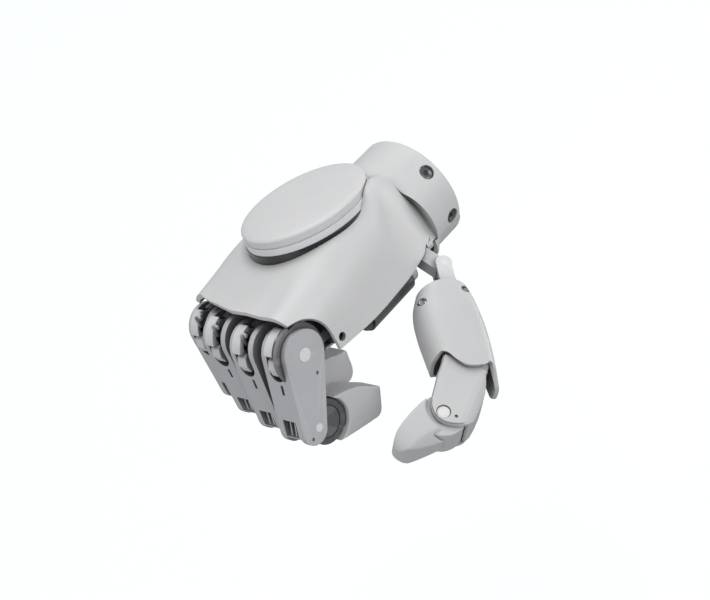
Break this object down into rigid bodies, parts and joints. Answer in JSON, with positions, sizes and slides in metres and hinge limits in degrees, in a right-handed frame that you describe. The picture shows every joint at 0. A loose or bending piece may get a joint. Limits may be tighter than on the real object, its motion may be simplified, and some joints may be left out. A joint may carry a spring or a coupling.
{
  "type": "dexterous robot hand",
  "caption": "White right-handed dexterous robot hand with an oval disc on its back, knuckle links and a two-stage thumb, posed in a light pinch.",
  "frame": {"origin": "centre of the wrist mounting face", "axes": "+X out of the wrist towards the arm, +Y to the little-finger side, +Z out of the back of the hand"},
  "size_m": [0.1573, 0.1385, 0.114],
  "materials": {
    "white_shell": "satin",
    "finger_shell": "satin",
    "links": "satin",
    "pins": "satin",
    "sensor_black": "gloss",
    "trim_lavender": "satin",
    "dark_joint": "satin",
    "screws": "satin",
    "frame_alloy": "satin",
    "motor_case": "gloss",
    "board_green": "matte",
    "steel": "satin",
    "black_plastic": "matte"
  },
  "bodies": {
    "palm": {"dorsal_shell": "white_shell", "palmar_cover": "white_shell", "disc_cap": "white_shell", "disc_ring": "trim_lavender", "disc_band": "sensor_black", "wrist_ring": "steel", "wrist_adapter": "steel", "cuff_screw_set": "screws", "wrist_connector": "black_plastic", "palm_frame": "frame_alloy", "knuckle_block": "links", "finger_motors": "motor_case", "control_board": "board_green", "thumb_motor": "motor_case", "cover_screws": "screws"},
    "index_rod_body": {"index_rod": "steel"},
    "index_proximal_body": {"index_proximal": "finger_shell", "index_horn": "links", "index_crank": "links", "index_mcp_pin": "pins", "index_pip_pin": "pins"},
    "index_distal_body": {"index_core": "dark_joint", "index_tip": "white_shell"},
    "middle_rod_body": {"middle_rod": "steel"},
    "middle_proximal_body": {"middle_proximal": "finger_shell", "middle_horn": "links", "middle_crank": "links", "middle_mcp_pin": "pins", "middle_pip_pin": "pins"},
    "middle_distal_body": {"middle_core": "dark_joint", "middle_tip": "white_shell"},
    "ring_rod_body": {"ring_rod": "steel"},
    "ring_proximal_body": {"ring_proximal": "finger_shell", "ring_horn": "links", "ring_crank": "links", "ring_mcp_pin": "pins", "ring_pip_pin": "pins"},
    "ring_distal_body": {"ring_core": "dark_joint", "ring_tip": "white_shell"},
    "little_rod_body": {"little_rod": "steel"},
    "little_proximal_body": {"little_proximal": "finger_shell", "little_horn": "links", "little_crank": "links", "little_mcp_pin": "pins", "little_pip_pin": "pins"},
    "little_distal_body": {"little_core": "dark_joint", "little_tip": "white_shell"},
    "thumb_swing_body": {"thumb_yoke": "links"},
    "thumb_metacarpal_body": {"thumb_metacarpal": "white_shell", "thumb_frame": "frame_alloy", "thumb_drive": "motor_case", "thumb_screws": "screws", "thumb_root_pin": "pins", "thumb_mcp_pin": "pins"},
    "thumb_proximal_body": {"thumb_proximal": "white_shell", "thumb_ip_pin": "pins"},
    "thumb_distal_body": {"thumb_core": "dark_joint", "thumb_tip": "white_shell"}
  },
  "joints": [
    {"name": "index_mcp", "type": "hinge", "parent": "palm", "child": "index_proximal_body", "pos_m": [-0.134, -0.0323, 0.005], "axis": [0, -1, 0], "range_deg": [-60, 12]},
    {"name": "index_pip", "type": "hinge", "parent": "index_proximal_body", "child": "index_distal_body", "pos_m": [-0.14697, -0.0323, -0.03085], "axis": [0, -1, 0], "range_deg": [-66, 13.2]},
    {"name": "index_drive", "type": "slide", "parent": "palm", "child": "index_rod_body", "axis": [-1, 0, 0], "range_m": [-0.01246, 0.00249]},
    {"name": "middle_mcp", "type": "hinge", "parent": "palm", "child": "middle_proximal_body", "pos_m": [-0.135, -0.0103, 0.0065], "axis": [0, -1, 0], "range_deg": [-69, 7]},
    {"name": "middle_pip", "type": "hinge", "parent": "middle_proximal_body", "child": "middle_distal_body", "pos_m": [-0.14221, -0.0103, -0.03094], "axis": [0, -1, 0], "range_deg": [-75.9, 7.7]},
    {"name": "middle_drive", "type": "slide", "parent": "palm", "child": "middle_rod_body", "axis": [-1, 0, 0], "range_m": [-0.01433, 0.00145]},
    {"name": "ring_mcp", "type": "hinge", "parent": "palm", "child": "ring_proximal_body", "pos_m": [-0.133, 0.0117, 0.008], "axis": [0, -1, 0], "range_deg": [-74, 3]},
    {"name": "ring_pip", "type": "hinge", "parent": "ring_proximal_body", "child": "ring_distal_body", "pos_m": [-0.13692, 0.0117, -0.02992], "axis": [0, -1, 0], "range_deg": [-81.4, 3.3]},
    {"name": "ring_drive", "type": "slide", "parent": "palm", "child": "ring_rod_body", "axis": [-1, 0, 0], "range_m": [-0.01537, 0.00062]},
    {"name": "little_mcp", "type": "hinge", "parent": "palm", "child": "little_proximal_body", "pos_m": [-0.1275, 0.0317, 0.0065], "axis": [0, -1, 0], "range_deg": [-76, 0.5]},
    {"name": "little_pip", "type": "hinge", "parent": "little_proximal_body", "child": "little_distal_body", "pos_m": [-0.12981, 0.0317, -0.02889], "axis": [0, -1, 0], "range_deg": [-83.6, 0.55]},
    {"name": "little_drive", "type": "slide", "parent": "palm", "child": "little_rod_body", "axis": [-1, 0, 0], "range_m": [-0.01579, 0.0001]},
    {"name": "thumb_rotation", "type": "hinge", "parent": "palm", "child": "thumb_swing_body", "pos_m": [-0.036, -0.0267, -0.01353], "axis": [1, 0, 0], "range_deg": [-10, 30]},
    {"name": "thumb_root", "type": "hinge", "parent": "thumb_swing_body", "child": "thumb_metacarpal_body", "pos_m": [-0.036, -0.03916, -0.02259], "axis": [0, 0.5878, -0.809], "range_deg": [-20, 6]},
    {"name": "thumb_mcp", "type": "hinge", "parent": "thumb_metacarpal_body", "child": "thumb_proximal_body", "pos_m": [-0.07901, -0.07438, -0.04818], "axis": [0, 0.5878, -0.809], "range_deg": [-10, 6]},
    {"name": "thumb_ip", "type": "hinge", "parent": "thumb_proximal_body", "child": "thumb_distal_body", "pos_m": [-0.11032, -0.08112, -0.05307], "axis": [0, 0.5878, -0.809], "range_deg": [-7, 4.2]}
  ],
  "couplings": [
    {"joint": "index_pip", "follows": "index_mcp", "ratio": 1.1},
    {"joint": "index_drive", "follows": "index_mcp", "m_per_rad": 0.0119},
    {"joint": "middle_pip", "follows": "middle_mcp", "ratio": 1.1},
    {"joint": "middle_drive", "follows": "middle_mcp", "m_per_rad": 0.0119},
    {"joint": "ring_pip", "follows": "ring_mcp", "ratio": 1.1},
    {"joint": "ring_drive", "follows": "ring_mcp", "m_per_rad": 0.0119},
    {"joint": "little_pip", "follows": "little_mcp", "ratio": 1.1},
    {"joint": "little_drive", "follows": "little_mcp", "m_per_rad": 0.0119},
    {"joint": "thumb_ip", "follows": "thumb_mcp", "ratio": 0.7}
  ]
}
